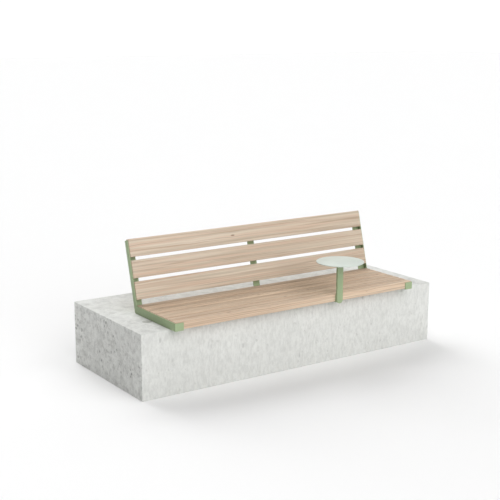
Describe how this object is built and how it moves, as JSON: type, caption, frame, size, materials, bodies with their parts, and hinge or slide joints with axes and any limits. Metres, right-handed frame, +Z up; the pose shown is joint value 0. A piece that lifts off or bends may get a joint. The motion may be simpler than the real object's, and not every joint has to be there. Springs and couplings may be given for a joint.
{
  "type": "concrete block bench",
  "caption": "Timber-slatted seat with a leaning slatted back and a small round side table, on green steel frames bolted to a long concrete block.",
  "frame": {"origin": "middle of the concrete block's underside, on the ground", "axes": "+X along the block's length (to the right of someone facing the bench), +Y from front to back, +Z up; people sit facing -Y"},
  "size_m": [2.5, 1.231, 0.9503],
  "materials": {
    "concrete": "fair-faced cast concrete",
    "mortar": "trowelled mortar",
    "seat_timber": "planed pale timber, oiled",
    "back_timber": "planed pale timber, oiled",
    "frame_paint": "pale green powder coat",
    "table_paint": "pale green powder coat",
    "stainless": "stainless steel",
    "zinc_steel": "zinc plated",
    "packer_plastic": "black packer"
  },
  "bodies": {
    "root": {"plinth": "concrete", "lifting_socket_plug": "mortar", "cast_in_sockets": "zinc_steel", "frame_pads": "packer_plastic", "seat_bar_left": "frame_paint", "seat_bar_middle": "frame_paint", "seat_bar_right": "frame_paint", "back_bar_left": "frame_paint", "back_bar_middle": "frame_paint", "back_bar_right": "frame_paint", "side_plate_left": "frame_paint", "side_plate_right": "frame_paint", "front_cap_left": "frame_paint", "front_cap_right": "frame_paint", "table_top": "table_paint", "table_head_plate": "table_paint", "table_post": "table_paint", "table_bracket": "table_paint", "seat_slat_1": "seat_timber", "seat_slat_2": "seat_timber", "seat_slat_3": "seat_timber", "seat_slat_4": "seat_timber", "seat_slat_5": "seat_timber", "seat_slat_6": "seat_timber", "seat_slat_7": "seat_timber", "seat_slat_8": "seat_timber", "back_board_1": "back_timber", "back_board_2": "back_timber", "back_board_3": "back_timber", "seat_screws": "stainless", "back_screws": "stainless", "anchor_bolts": "stainless", "table_bracket_screws": "stainless", "table_top_screws": "stainless"}
  },
  "joints": []
}
